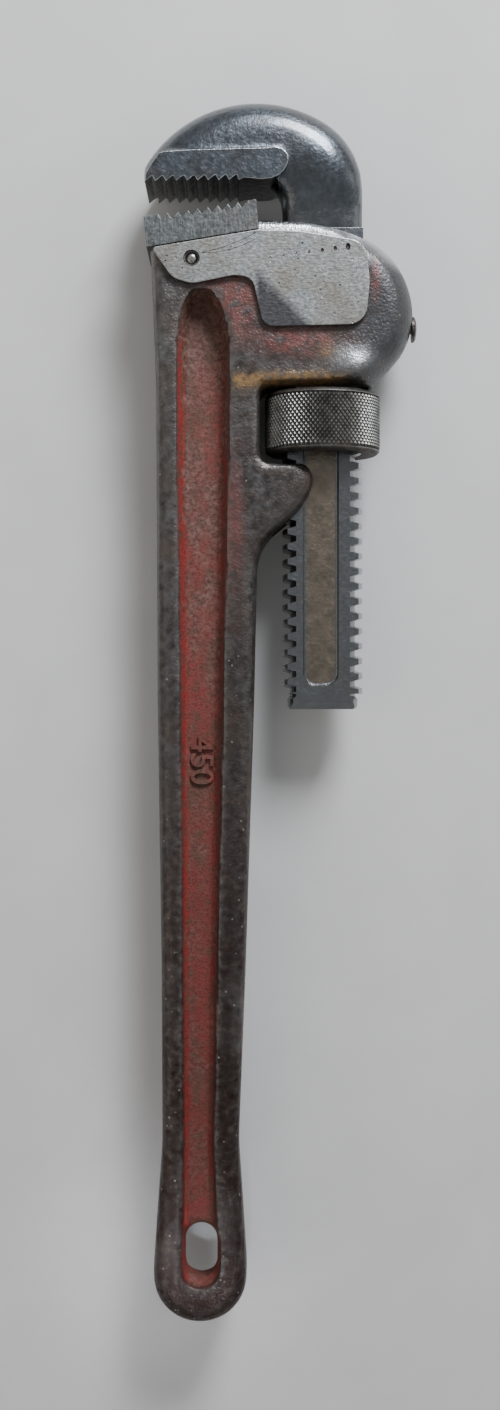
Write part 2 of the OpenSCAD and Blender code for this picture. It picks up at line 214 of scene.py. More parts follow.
def proud(piece, spread=3):
    """How far each vertex stands out from those around it, over their distance."""
    table = points(piece)
    count = len(table)
    pairs = np.empty(2 * len(piece.data.edges), int)
    piece.data.edges.foreach_get("vertices", pairs)
    a, b = pairs.reshape(-1, 2).T
    normals = np.empty(3 * count)
    piece.data.vertex_normals.foreach_get("vector", normals)
    step = table[b] - table[a]
    length = np.linalg.norm(step, axis=1) + 1e-9
    rise = np.einsum("ij,ij->i", step, normals.reshape(-1, 3)[a]) / length
    fall = -np.einsum("ij,ij->i", step, normals.reshape(-1, 3)[b]) / length
    near = np.bincount(a, minlength=count) + np.bincount(b, minlength=count)
    near = np.maximum(near, 1)
    value = -(np.bincount(a, rise, count) + np.bincount(b, fall, count)) / near
    for _ in range(spread):
        around = (np.bincount(a, value[b], count) + np.bincount(b, value[a], count)) / near
        value = (value + around) / 2
    return value


# Half the thickness of the casting up the wrench, as (height, half thickness)
thickness = np.array([(0, 7.5), (3, 8.2), (11, 9), (40, 9), (61, 9.15), (122, 9.6), (210, 10.7),
                      (252, 11.3), (287, 12.2), (317, 13.1), (328, 14.2), (361, 14.3),
                      (365.6, 14.0), (369.4, 13.5), (371.4, 12.7), (372.3, 11.8)])
FULL = 10  # half thickness that the casting is first built with
handle_outline = arc((-41.5, 15.9), 15.75, 180, 360, 18) + rounded([
    (-25.7, 20, 0), (-27, 40.5, 60), (-28.4, 61, 80), (-26, 122, 90), (-23.2, 210, 90),
    (-22.4, 248, 40), (-22.1, 256.6, 9), (-20.4, 262.2, 9), (-17.4, 266, 9), (-12.4, 270, 14),
    (-7.4, 275, 9), (-4.3, 280.4, 9), (-2.8, 285.2, 6), (-5.2, 289.8, 4), (-12, 292, 4), (-17, 297, 0.6),
    (-17, 335, 0.6), (-38, 345, 0.6), (-38, 372.2, 0.6), (-58.8, 372.2, 3), (-58.8, 365.6, 40),
    (-57.5, 354.4, 40), (-56.8, 334, 60), (-56.4, 317, 60), (-56.1, 252, 90), (-55.9, 210, 90),
    (-54.6, 122, 90), (-54.3, 61, 80), (-55.8, 40.5, 60), (-57.2, 20, 0)])
housing_outline = rounded([
    (-56.2, 310, 1), (10, 310, 1), (17, 316.6, 8), (22.8, 322.8, 14), (27.2, 328, 14),
    (29.8, 334, 20), (30.8, 341, 30), (29.9, 347.6, 30), (27.2, 354.6, 24), (22.7, 361, 20),
    (16.6, 365.6, 20), (6.4, 369.4, 40), (-8, 371.6, 60), (-19.5, 372.2, 60), (-58.7, 372.2, 3)])
groove_outline = rounded([
    (-48.2, 12.2, 6), (-34.6, 12.2, 6), (-36.7, 61, 60), (-34, 210, 60), (-32.6, 296, 60),
    (-32.8, 331, 30), (-35.2, 342, 9), (-39, 346.8, 3.5), (-43.2, 346.6, 3.5), (-46.2, 342, 9),
    (-47.9, 331, 30), (-48.3, 296, 60), (-47.6, 210, 60), (-47.2, 61, 60)], 5)

casting = plate("cast_handle", handle_outline, FULL, 4.4, 5)
# the housing's back is nearly a half round, and its rim over the pads only has a soft edge
roundness = [min(1, max(0.24, 0.24 + 0.76 * (px + 2) / 20)) for px, py in housing_outline]
combine(casting, plate("housing_blank", housing_outline, FULL, 8.6, 6, roundness), "UNION")
modify(casting, "REMESH", mode="VOXEL", voxel_size=1.2)
modify(casting, "SMOOTH", factor=0.5, iterations=4)
table = points(casting)
table[:, 2] *= np.interp(table[:, 1], *thickness.T) / FULL
# the casting swells again over the window: a low lip that grows into a boss on the right
x, y, z = table.T
lip = 0.7 * np.exp(-((y - 318.6) / 2.4) ** 2) * np.clip((x + 24) / 8, 0, 1) * np.clip((16 - x) / 6, 0, 1)
boss = 2.0 * np.exp(-((x - 11) / 7) ** 2 - ((y - 321.3) / 4.6) ** 2)
table[:, 2] += np.clip(z / 6, -1, 1) * (lip + boss)
move_points(casting, table)

for side in (1, -1):
    # floor, its fillet, and walls that lean back to the mouth
    walls = [(3.2, 4.5), (2.0, 4.8), (1.1, 5.6), (0.5, 7.4), (-0.2, 9.6), (-1.0, 12.4), (-1.2, 30)]
    combine(casting, stack("groove", [(inset(groove_outline, d), side * z) for d, z in walls]))
window_outline = rounded([(-21.3, 290, 3.4), (60, 290, 0), (60, 316, 0), (-21.3, 316, 3.4)])
combine(casting, stack("window", [(inset(window_outline, d), z) for d, z in (
    (-3, -20), (-1.6, -13.5), (-0.5, -11), (0, -9.2), (0, 9.2), (-0.5, 11), (-1.6, 13.5), (-3, 20))]))
hole_outline = arc((-41.1, 28.1), 5.4, 0, 180, 14) + arc((-41.1, 20.5), 5.4, 180, 360, 14)
combine(casting, stack("hang_hole", [(inset(hole_outline, d), z) for d, z in (
    (-1.2, -20), (-0.9, -4.6), (0, -3.4), (0, 3.4), (-0.9, 4.6), (-1.2, 20))]))
modify(casting, "REMESH", mode="VOXEL", voxel_size=0.95)
modify(casting, "SMOOTH", factor=0.5, iterations=5)

# The size in millimetres stands raised on the groove's floor, a number and nothing else
for side in (1, -1):
    bpy.ops.object.select_all(action="DESELECT")
    bpy.ops.object.text_add()
    number = bpy.context.object
    number.data.body = "450"
    number.data.size = 11
    number.data.extrude = 0.9
    number.data.bevel_depth = 0.12
    number.data.align_x = number.data.align_y = "CENTER"
    bpy.ops.object.convert(target="MESH")
    number = bpy.context.object
    bpy.ops.object.mode_set(mode="EDIT")
    bpy.ops.mesh.select_all(action="SELECT")
    bpy.ops.mesh.remove_doubles(threshold=0.001)
    bpy.ops.mesh.normals_make_consistent(inside=False)
    bpy.ops.object.mode_set(mode="OBJECT")
    turn = Matrix.Rotation(math.pi if side < 0 else 0, 4, "Y") @ Matrix.Rotation(-math.pi / 2, 4, "Z")
    number.data.transform(Matrix.Translation((-41.2, 190, side * 4.6)) @ turn)
    combine(casting, number, "UNION")

# The ground pads stand a little proud on both sides; the machined cuts come after them
PAD = 16.2
pad_outline = rounded([
    (-57.6, 361, 1), (-50.6, 350.8, 7), (-44, 348.8, 9), (-30, 351.7, 7), (-23.9, 350.9, 6),
    (-20.3, 334.6, 4.5), (14, 335.4, 6.5), (15.3, 350, 20), (13.8, 363, 6.5), (-8, 366.5, 40),
    (-22.2, 366.9, 3)], 7)
combine(casting, plate("pads", pad_outline, PAD, 0.4, 2), "UNION")
# a row of small pits left by a punch, growing to the right
for i, size in enumerate((0.45, 0.5, 0.5, 0.6, 0.7, 0.75, 1.0)):
    bpy.ops.object.select_all(action="DESELECT")
    bpy.ops.mesh.primitive_uv_sphere_add(segments=16, ring_count=8, radius=size)
    punch = bpy.context.object
    punch.data.transform(Matrix.Translation((-17.8 + 4.3 * i, 357.5 + 0.62 * i, PAD + 0.2)) @
                         Matrix.Diagonal((0.8, 1.25, 1, 1)))
    combine(casting, punch)
seat_left, seat_right = Vector((-59.1, 361.3)), Vector((-21.7, 367.4))
seat_far = seat_left * 2 - seat_right
combine(casting, plate("seat_cut", [tuple(seat_far), tuple(seat_right), (-21.7, 420),
                                    (seat_far.x, 420)], 60))
combine(casting, plate("passage", [(-14, 315), (14, 315), (17.1, 372.3), (17.1, 420), (-14, 420)], 6.8))
combine(casting, plate("fork", [(-17.3, 240), (60, 240), (60, 291), (-17.3, 291)], 6.8))
combine(casting, plate("leaf_room", [(13.6, 315), (15.35, 315), (18.45, 371), (13.6, 371)], 5.5))
PIN = (-44.1, 357.4)
slope = math.degrees(math.atan2(6.1, 37.4))


def tongue_outline(grow):
    """Tongue of the heel jaw, with a round foot about the pin."""
    return [(seat_right.x - 6, seat_right.y + 1.5), (seat_left.x + 10, seat_left.y + 5)] + \
        arc(PIN, 7.2 + grow, 180 + slope, 360 + slope, 12)


combine(casting, plate("tongue_slot", tongue_outline(0.12), 7.32))
combine(casting, rod("pin_bore", 2.1, (*PIN, -30), (*PIN, 30), 32))
for side in (1, -1):
    combine(casting, rod("pin_ring", 2.75, (*PIN, side * (PAD - 0.7)), (*PIN, side * 30), 40))
SPRING_Y = 336.5
combine(casting, rod("spring_pocket", 4.9, (13, SPRING_Y, 0), (24.2, SPRING_Y, 0)))
combine(casting, rod("rivet_bore", 1.55, (13, SPRING_Y, 0), (60, SPRING_Y, 0), 24))
combine(casting, rod("rivet_seat", 4.7, (30.2, SPRING_Y, 0), (60, SPRING_Y, 0)))

# Masks for the finish: the grooves, the worn edges, and where the red enamel has held on
table = points(casting)
x, y, z = table.T
face = np.interp(y, *thickness.T)
left = np.interp(y, (0, 61, 210, 296, 350), (-49.4, -48.4, -48.7, -49.6, -49.4))
right = np.interp(y, (0, 61, 210, 296, 350), (-33.4, -35.5, -32.8, -31.2, -31.4))
inside = (x > left) & (x < right) & (y > 10.5) & (y < 351.5)
brush(casting, "groove", np.clip((face - np.abs(z) - 0.3) / 2.2, 0, 1) * inside)
# the bright red strip by the left wall widens towards the free end and stops below the arch: red enamel,
# painted brighter where the wall faces the light
share = (x - left) / (right - left)
width = 0.17 + 0.12 * np.clip((330 - y) / 250, 0, 1)
brush(casting, "left_wall_red_and_light", np.clip((width - share) / 0.1, 0, 1) * np.clip((338 - y) / 16, 0, 1))
# fine mesh only: not the flat cuts, whose few large faces would smear the mask
fine = (np.abs(z) < PAD - 0.5) & (np.abs(z) > 7.2)
brush(casting, "worn", proud(casting) * 5 * fine)


def spot(px, py, rx, ry):
    """Soft oval mask about a place in the drawing."""
    return np.exp(-((x - px) / rx) ** 2 - ((y - py) / ry) ** 2)


brush(casting, "enamel", spot(-31, 346, 9, 6) + spot(-12, 330.5, 14, 4.6) + spot(17, 350, 1.5, 6) +
      spot(-28, 340, 4.5, 8) + spot(-6, 329, 9, 3) + spot(-2, 285.5, 2.6, 3) + spot(-30, 270, 3, 20))
# near white along the housing's rim, round its shoulder and on the boss over the window: bare metal on
# the rim, and a painted highlight on all three where the window light catches them
rim = np.exp(-((y - 370.2) / 3.6) ** 2) * (x > -22) * np.clip((20 - x) / 8, 0, 1)
shoulder = np.exp(-((np.hypot(x - 8, y - 350) - 17.5) / 3) ** 2) * (x > 8) * np.clip((y - 354) / 6, 0, 1)
brush(casting, "rim_wear_and_highlight", (np.maximum(rim, shoulder * 0.9) + spot(9, 325, 7, 3.2) * 0.55) *
      (np.abs(z) > 6))
# rust along the window's upper edge, and a spot above it
edge = np.exp(-((y - 317.4) / 2.2) ** 2) * (x > -30) * (np.abs(z) > 5) * np.clip((10 - x) / 10, 0, 1)
brush(casting, "rust", edge * 1.2 + spot(1, 326.5, 2.6, 2.4) * 0.6)


def linear(code):
    """Linear colour from an sRGB hex value."""
    parts = [int(code[i:i + 2], 16) / 255 for i in (1, 3, 5)]
    return [p / 12.92 if p <= 0.04045 else ((p + 0.055) / 1.055) ** 2.4 for p in parts] + [1]


def add(finish, kind, sockets=None, out=0, **settings):
    """Adds a node with its settings and links, and gives back one of its outputs."""
    node = finish.node_tree.nodes.new("ShaderNode" + kind)
    for key, value in settings.items():
        setattr(node, key, value)
    for key, value in (sockets or {}).items():
        if isinstance(value, bpy.types.NodeSocket):
            finish.node_tree.links.new(value, node.inputs[key])
        else:
            node.inputs[key].default_value = value
    return node.outputs[out]


def start_finish(name, metallic, roughness=0.5):
    """New finish with plain values, and the drawing's millimetres as its coordinates."""
    finish = bpy.data.materials.new(name)
    finish.use_nodes = True
    shader = finish.node_tree.nodes["Principled BSDF"]
    shader.inputs["Metallic"].default_value = metallic
    shader.inputs["Roughness"].default_value = roughness
    where = add(finish, "TexCoord", out="Object")
    drawn = add(finish, "Mapping", {"Vector": where, "Scale": (1 / MM,) * 3,
                                    "Location": tuple(-drawing_zero / MM)})
    return finish, drawn


def surface(finish, looks):
    """Links what was worked out for a finish to its shader."""
    shader = finish.node_tree.nodes["Principled BSDF"]
    for name, output in looks.items():
        finish.node_tree.links.new(output, shader.inputs[name])


def dress(piece, *finishes):
    """Gives a piece its finishes, the first of them all over."""
    piece.data.materials.clear()
    for finish in finishes:
        piece.data.materials.append(finish)
    piece.data.polygons.foreach_set("material_index", [0] * len(piece.data.polygons))


def mottle(finish, drawn, size, low, high, detail=3.0, stretch=(1, 1, 1)):
    """Soft patches about `size` millimetres across, as a mask from 0 to 1."""
    if stretch != (1, 1, 1):
        drawn = add(finish, "Mapping", {"Vector": drawn, "Scale": stretch})
    noise = add(finish, "TexNoise", {"Vector": drawn, "Scale": 1 / size, "Detail": detail})
    return add(finish, "MapRange", {"Value": noise, "From Min": low, "From Max": high})


def patches(finish, drawn, below, colour, size, low, high, detail=3.0, within=(), stretch=(1, 1, 1)):
    """Lays a colour over the one below in mottled patches, held back by each mask or share."""
    cover = mottle(finish, drawn, size, low, high, detail, stretch)
    for limit in within:
        cover = add(finish, "Math", {0: cover, 1: limit}, operation="MULTIPLY")
    if isinstance(below, str):
        below = linear(below)
    return add(finish, "MixRGB", {"Fac": cover, "Color1": below, "Color2": linear(colour)})


# Sand-cast grey iron, handled for years: the skin is dark and faintly oily, so it shines softly;
# rails are rubbed to bare metal, the lower handle is browned, and the grooves keep red enamel.
iron, drawn = start_finish("weathered_cast_iron", 0.55)
across = add(iron, "SeparateXYZ", {"Vector": drawn}, out="X")
height = add(iron, "SeparateXYZ", {"Vector": drawn}, out="Y")
groove, left_wall_red_and_light, rim, worn, enamel, rust = (
    add(iron, "Attribute", out="Fac", attribute_name=name)
    for name in ("groove", "left_wall_red_and_light", "rim_wear_and_highlight", "worn", "enamel", "rust"))
skin = patches(iron, drawn, "#403e3c", "#6b6967", 3.2, 0.36, 0.66, 5)
skin = patches(iron, drawn, skin, "#5a5049", 14, 0.4, 0.7)
# the round back of the housing is handled most: smooth, cold grey iron
handled = add(iron, "MapRange", {"Value": across, "From Min": 2, "From Max": 18, "To Max": 0.8})
skin = add(iron, "MixRGB", {"Fac": handled, "Color1": skin, "Color2": linear("#4b4d4f")})
# the handle grows browner towards its free end
low_down = add(iron, "MapRange", {"Value": height, "From Min": 320, "From Max": 80})
skin = patches(iron, drawn, skin, "#2a1912", 22, 0.12, 0.52, within=[low_down])
skin = patches(iron, drawn, skin, "#604b3d", 2.4, 0.56, 0.68, 4, within=[0.4])
# specks where the skin has chipped, about half a millimetre
specks = add(iron, "TexVoronoi", {"Vector": drawn, "Scale": 1 / 2.6})
chip = add(iron, "MapRange", {"Value": specks, "From Min": 0.17, "From Max": 0.1})
skin = patches(iron, drawn, skin, "#8f8982", 6, 0.5, 0.6, within=[chip])
# worn edges, the enamel film beside the pads, the bare rim with its painted highlight, and rust along the
# window
skin = patches(iron, drawn, skin, "#7d7b77", 2.4, 0.3, 0.62, 4, [worn])
skin = patches(iron, drawn, skin, "#8b5852", 3.4, 0.3, 0.6, 5, [enamel, 0.75])
skin = patches(iron, drawn, skin, "#dcdedd", 1.5, 0.1, 0.45, 3, [rim])
skin = patches(iron, drawn, skin, "#ab865a", 2.2, 0.25, 0.6, 4, [rust])
# the grooves: enamel under brown dust, with lighter specks where it has flaked
bed = patches(iron, drawn, "#5c342c", "#86675c", 1.6, 0.36, 0.66, 6)
bed = patches(iron, drawn, bed, "#5f4335", 9, 0.42, 0.7)
below_arch = add(iron, "MapRange", {"Value": height, "From Min": 332, "From Max": 300})
bed = patches(iron, drawn, bed, "#84352e", 7, 0.42, 0.62, 6, [below_arch, 0.8], (1, 0.45, 1))
# the red is brightest along the left wall, enamel with painted light where the wall faces the lamp, and
# deepest towards the free end
bed = patches(iron, drawn, bed, "#9c2f29", 3, 0.32, 0.56, 6, [left_wall_red_and_light])
deepened = add(iron, "MapRange", {"Value": height, "From Min": 320, "From Max": 80, "To Max": 0.45})
bed = add(iron, "MixRGB", {"Fac": deepened, "Color1": bed, "Color2": linear("#651c15")})
# dirt and grit that have settled in it
bed = patches(iron, drawn, bed, "#54402f", 4, 0.52, 0.64, 5, [0.55])
bed = patches(iron, drawn, bed, "#33241f", 0.9, 0.52, 0.66, 2, [0.5])
skin = add(iron, "MixRGB", {"Fac": groove, "Color1": skin, "Color2": bed})
# the rim is smoother than the rest, and the grooves are matt and not bare metal
gloss = add(iron, "MapRange", {"Value": mottle(iron, drawn, 1.6, 0.3, 0.7, 4), "To Min": 0.32,
                               "To Max": 0.46})
gloss = add(iron, "Math", {0: rim, 1: -0.12, 2: gloss}, operation="MULTIPLY_ADD")
gloss = add(iron, "Math", {0: groove, 1: 0.34, 2: gloss}, operation="MULTIPLY_ADD")
bare = add(iron, "MapRange", {"Value": groove, "To Min": 0.6, "To Max": 0.0})
bare = add(iron, "Math", {0: rim, 1: 0.4, 2: bare}, operation="MULTIPLY_ADD")
# the sand's grain, about 0.9 mm, over slow waves left by the mould
waves = add(iron, "Bump", {"Height": mottle(iron, drawn, 7, 0, 1, 2), "Distance": 0.5 * MM,
                           "Strength": 0.5})
grain = add(iron, "Bump", {"Height": mottle(iron, drawn, 0.9, 0, 1, 3), "Distance": 0.32 * MM,
                           "Strength": 0.7, "Normal": waves})
surface(iron, {"Base Color": skin, "Roughness": gloss, "Metallic": bare, "Normal": grain})

# Surface-ground iron: light warm grey with a satin sheen, fine scratches from the wheel,
# scattered pores, and a darker corner that the wheel did not reach.
ground, drawn = start_finish("ground_iron_pad", 1.0)
across = add(ground, "SeparateXYZ", {"Vector": drawn}, out="X")
height = add(ground, "SeparateXYZ", {"Vector": drawn}, out="Y")
flat = patches(ground, drawn, "#8c908f", "#c3c4c1", 1.1, 0.3, 0.7, 4)
flat = patches(ground, drawn, flat, "#9b968c", 11, 0.4, 0.7)
# the corner is below a line that falls to the right
slant = add(ground, "Math", {0: across, 1: 1.02, 2: height}, operation="MULTIPLY_ADD")
corner = add(ground, "MapRange", {"Value": slant, "From Min": 332.4, "From Max": 328.4})
tip = add(ground, "MapRange", {"Value": across, "From Min": -23.5, "From Max": -21.5})
flat = patches(ground, drawn, flat, "#5d5c5d", 3, 0.0, 0.42, within=[corner, tip])
pores = add(ground, "TexVoronoi", {"Vector": drawn, "Scale": 1 / 2.4, "Randomness": 1.0})
pit = add(ground, "MapRange", {"Value": pores, "From Min": 0.16, "From Max": 0.1})
pit = add(ground, "Math", {0: pit, 1: mottle(ground, drawn, 4, 0.5, 0.62)}, operation="MULTIPLY")
flat = add(ground, "MixRGB", {"Fac": pit, "Color1": flat, "Color2": linear("#3f3d3b")})
# two long scratches curve from the pin up to the seat, each on a circle
level = add(ground, "CombineXYZ", {"X": across, "Y": height})
past_pin = add(ground, "MapRange", {"Value": across, "From Min": -41.5, "From Max": -38})
short = add(ground, "MapRange", {"Value": across, "From Min": -20.5, "From Max": -24, "To Max": 0.9})
reach = add(ground, "Math", {0: past_pin, 1: short}, operation="MULTIPLY")
for centre, radius in (((-50, 412.3, 0), 53.84), ((-39.9, 392.5, 0), 33.4)):
    far = add(ground, "VectorMath", {0: level, 1: centre}, out="Value", operation="DISTANCE")
    gap = add(ground, "Math", {0: far, 1: radius}, operation="SUBTRACT")
    gap = add(ground, "Math", {0: gap}, operation="ABSOLUTE")
    line = add(ground, "MapRange", {"Value": gap, "From Min": 0.16, "From Max": 0.05})
    line = add(ground, "Math", {0: line, 1: reach}, operation="MULTIPLY")
    flat = add(ground, "MixRGB", {"Fac": line, "Color1": flat, "Color2": linear("#3d3a38")})
wheel = mottle(ground, drawn, 0.7, 0.3, 0.7, 3, (0.5, 1, 1))
cuts = add(ground, "Bump", {"Height": wheel, "Distance": 0.05 * MM, "Strength": 0.5})
cuts = add(ground, "Bump", {"Height": pit, "Distance": -0.3 * MM, "Normal": cuts})
cuts = add(ground, "Bump", {"Height": mottle(ground, drawn, 1.3, 0, 1, 3), "Distance": 0.14 * MM,
                            "Strength": 0.5, "Normal": cuts})
satin = add(ground, "MapRange", {"Value": wheel, "To Min": 0.34, "To Max": 0.52})
surface(ground, {"Base Color": flat, "Roughness": satin, "Normal": cuts})

dress(casting, iron, ground)
for facet in casting.data.polygons:
    if abs(facet.center.z) > PAD - 0.3 and abs(facet.normal.z) > 0.5:
        facet.material_index = 1
smooth(casting, 32)
place(casting)
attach(casting, "handle")
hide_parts("handle_housing")

# ------------------------------------------------------------------ the hook jaw
# Drop forged from tool steel in one piece with its flat shank: a round arm, a toothed block
# ground on its sides, and a five-to-the-inch thread cut on the two edges of the shank.

PITCH = 5.08        # five threads to the inch
SHANK = 13.6        # radius over the thread's crests
ROOT = 11.1         # radius at its roots
SHANK_FOOT = 207.4  # the shank's lower end
THREAD_Y = 212      # where the thread begins
NECK = 325.8        # where the plain neck begins
BAR = 6.4           # half thickness of the flat shank
BLOCK = 15          # half thickness of the toothed blocks
# one turn of the thread, as (share of the pitch, share of its height)
turn_shape = [(0, 0), (0.15, 1), (0.5, 1), (0.65, 0), (1, 0)]


def screw(name, first_y, turns, grow=0.0, steps=40):
    """Closed screw of the wrench's thread, its crests and roots grown by a clearance."""
    bpy.ops.object.select_all(action="DESELECT")
    bpy.ops.mesh.primitive_circle_add(vertices=len(turn_shape), radius=1)
    piece = bpy.context.object
    piece.name = piece.data.name = name
    for vertex, (share, rise) in zip(piece.data.vertices, turn_shape):
        vertex.co = (ROOT + grow + (SHANK - ROOT) * rise, first_y + PITCH * share, 0)
    bpy.ops.object.mode_set(mode="EDIT")
    work = bmesh.from_edit_mesh(piece.data)
    work.verts.ensure_lookup_table()
    ends = {work.verts[0], work.verts[len(turn_shape) - 1]}
    for edge in list(work.edges):
        if set(edge.verts) == ends:
            work.edges.remove(edge)
    bmesh.update_edit_mesh(piece.data)
    bpy.ops.object.mode_set(mode="OBJECT")
    modify(piece, "SCREW", axis="Y", angle=2 * math.pi, screw_offset=PITCH, iterations=turns,
           steps=steps, render_steps=steps, use_merge_vertices=False)
    bpy.ops.object.mode_set(mode="EDIT")
    bpy.ops.mesh.select_all(action="SELECT")
    bpy.ops.mesh.remove_doubles(threshold=0.001)
    bpy.ops.mesh.select_all(action="DESELECT")
    bpy.ops.mesh.select_mode(type="EDGE")
    bpy.ops.mesh.select_non_manifold(extend=False)
    bpy.ops.mesh.edge_face_add()
    bpy.ops.mesh.select_all(action="SELECT")
    bpy.ops.mesh.quads_convert_to_tris()
    bpy.ops.mesh.normals_make_consistent(inside=False)
    bpy.ops.object.mode_set(mode="OBJECT")
    return piece


def teeth(start, stop, depth, count):
    """Row of saw teeth, with the roots to the left of the direction of travel."""
    start, stop = Vector(start), Vector(stop)
    pitch = (stop - start) / count
    away = Vector((-pitch.y, pitch.x)).normalized() * depth
    row = []
    for i in range(count):
        row += [tuple(start + pitch * (i + 0.08)), tuple(start + pitch * (i + 0.7) + away),
                tuple(start + pitch * (i + 0.82) + away)]
    return row


# The arm: the back's small arc runs into the crown's, and the hollow side meets the neck
crown, crown_r, back_y = (-22.5, 369), 44.1, 383.5
wide, high = SHANK - crown[0], back_y - crown[1]
back_r = (high ** 2 + wide ** 2 - crown_r ** 2) / (2 * (wide - crown_r))
back = (SHANK - back_r, back_y)
meet = math.degrees(math.atan2(back[1] - crown[1], back[0] - crown[0]))
arm_outline = [(SHANK, 366)] + arc(back, back_r, 0, meet, 10) + \
    arc(crown, crown_r, meet + 3, 147, 22) + \
    rounded([(-60.6, 391.2, 0), (-60.9, 387.4, 2), (-60, 385, 1), (-19, 385.2, 3),
             (-14.4, 381, 5), (-SHANK, 374, 4), (-SHANK, 366, 0)], 4)
# the arm is domed from its outer edge, and only softly rounded along its hollow side
domed = [1 if math.dist(point, crown) > crown_r - 1.5 or point[0] > 10 else 0.35
         for point in arm_outline]
hook = plate("hook_arm", arm_outline, FULL, 12.5, 8, domed, 9)
modify(hook, "REMESH", mode="VOXEL", voxel_size=0.9)
# below, the arm thins to the neck, so that it clears the housing's rim when the jaw is closed
table = points(hook)
table[:, 2] *= np.interp(table[:, 1], (372, 376.5, 380, 384, 388, 394),
                         (0.52, 0.545, 0.68, 0.86, 0.97, 1.04))
move_points(hook, table)
block_outline = [(-21.1, 383.9), (-17.7, 384.2), (-15.4, 385.1), (-13.6, 386.6), (-12.3, 388.6),
                 (-11.8, 390.4), (-12.0, 392.0), (-12.9, 393.4), (-14.4, 394.4), (-16.6, 394.7),
                 (-20.4, 394.4), (-44.2, 393.8), (-53.6, 393.2), (-55.2, 392.6), (-57.5, 389.3),
                 (-59.4, 386)] + teeth((-60, 383.1), (-28.4, 383.6), 1.7, 9) + \
    [(-28.4, 383.6), (-26.5, 384.4)]
collar = rounded([(-58, 386, 2), (-16, 385.6, 4), (-11.4, 390, 5), (-15, 396, 3), (-54, 394.8, 3)])
combine(hook, plate("block_root", collar, 12.2, 2.5, 3), "UNION")
modify(hook, "REMESH", mode="VOXEL", voxel_size=0.9)
modify(hook, "SMOOTH", factor=0.5, iterations=10)
combine(hook, plate("toothed_block", block_outline, BLOCK, 0.25, 2), "UNION")

neck = plate("neck", rounded([(-SHANK, NECK, 0), (SHANK, NECK, 0), (SHANK, 370, 0.4),
                              (-SHANK, 370, 0.4)]), BAR, 0.4, 2)
shank = screw("shank", THREAD_Y - PITCH, 24)
combine(shank, plate("flats", [(-30, THREAD_Y + 0.6), (30, THREAD_Y + 0.6), (30, NECK + 0.6),
                               (-30, NECK + 0.6)], BAR), "INTERSECT")
# the foot is plain: its lower rim is chamfered, and its top narrows to just over the root
foot = stack("foot", [(arc((0, 0), radius, 0, 352.5, 47), y) for radius, y in (
    (11, SHANK_FOOT), (11.6, SHANK_FOOT + 0.5), (11.9, SHANK_FOOT + 1.1), (12, THREAD_Y - 1.2),
    (ROOT + 0.02, THREAD_Y - 0.2), (ROOT + 0.02, THREAD_Y + 1.4))])
foot.data.transform(Matrix.Rotation(-math.pi / 2, 4, "X"))
foot.data.transform(Matrix.Scale(-1, 4, (0, 0, 1)))
foot.data.flip_normals()
combine(foot, plate("foot_flats", [(-30, SHANK_FOOT), (30, SHANK_FOOT), (30, 230), (-30, 230)], BAR,
                    2.2, 1), "INTERSECT")
combine(shank, foot, "UNION")
combine(shank, neck, "UNION")
panel = rounded([(-6.6, 215.4, 4), (5.1, 215.4, 4), (5.1, 321.8, 4), (-6.6, 321.8, 4)])
for side in (1, -1):
    combine(shank, stack("panel", [(inset(panel, d), side * h) for d, h in (
        (1.0, BAR - 1), (0.35, BAR - 0.75), (-0.1, BAR - 0.1), (-0.5, BAR + 0.3), (-0.5, 20))]))
combine(hook, shank, "UNION")

# Masks on the faces: rubbed rims and crests, painted shade on the teeth's faces that turn down and away
# from the light, and the shank's panels
at = np.array([facet.center for facet in hook.data.polygons])
facing = np.array([facet.normal for facet in hook.data.polygons])
from_middle = np.abs(at[:, 2])
tilt = np.abs(facing[:, 2])
rims = (tilt > 0.2) & (tilt < 0.97) & (from_middle > BLOCK - 0.4)
crests = (at[:, 1] < 325) & (np.hypot(at[:, 0], at[:, 2]) > SHANK - 0.4)
brush(hook, "worn", rims * 1.0 + crests * 0.5, "FACE")
brush(hook, "tooth_shade", (facing[:, 1] < -0.4) & (at[:, 1] > 380) & (at[:, 1] < 390) & (at[:, 0] < -15),
      "FACE")
brush(hook, "panel", (from_middle < BAR - 0.3) & (tilt > 0.95) & (np.abs(at[:, 0] + 0.75) < 6.2) &
      (at[:, 1] > 214) & (at[:, 1] < 323), "FACE")

# Forged tool steel, blued by heat and oil: near-black with a cold tint and a glossy skin that
# picks up clear highlights; edges and crests are rubbed bright, and the shank's panels browned.
forged, drawn = start_finish("oiled_forged_steel", 1.0)
panel, worn, tooth_shade = (add(forged, "Attribute", out="Fac", attribute_name=name)
                      for name in ("panel", "worn", "tooth_shade"))
skin = patches(forged, drawn, "#505559", "#696f75", 2.6, 0.25, 0.75, 5)
skin = patches(forged, drawn, skin, "#525253", 13, 0.42, 0.7)
# the shank rubs in the housing and is paler than the arm
height = add(forged, "SeparateXYZ", {"Vector": drawn}, out="Y")
below = add(forged, "MapRange", {"Value": height, "From Min": 388, "From Max": 352, "To Max": 0.7})
skin = add(forged, "MixRGB", {"Fac": below, "Color1": skin, "Color2": linear("#7b7c7b")})
warm = patches(forged, drawn, "#7a7062", "#938675", 4, 0.35, 0.65, 4)
skin = add(forged, "MixRGB", {"Fac": panel, "Color1": skin, "Color2": warm})
skin = patches(forged, drawn, skin, "#c4c6c6", 1.8, 0.22, 0.5, 4, [worn])
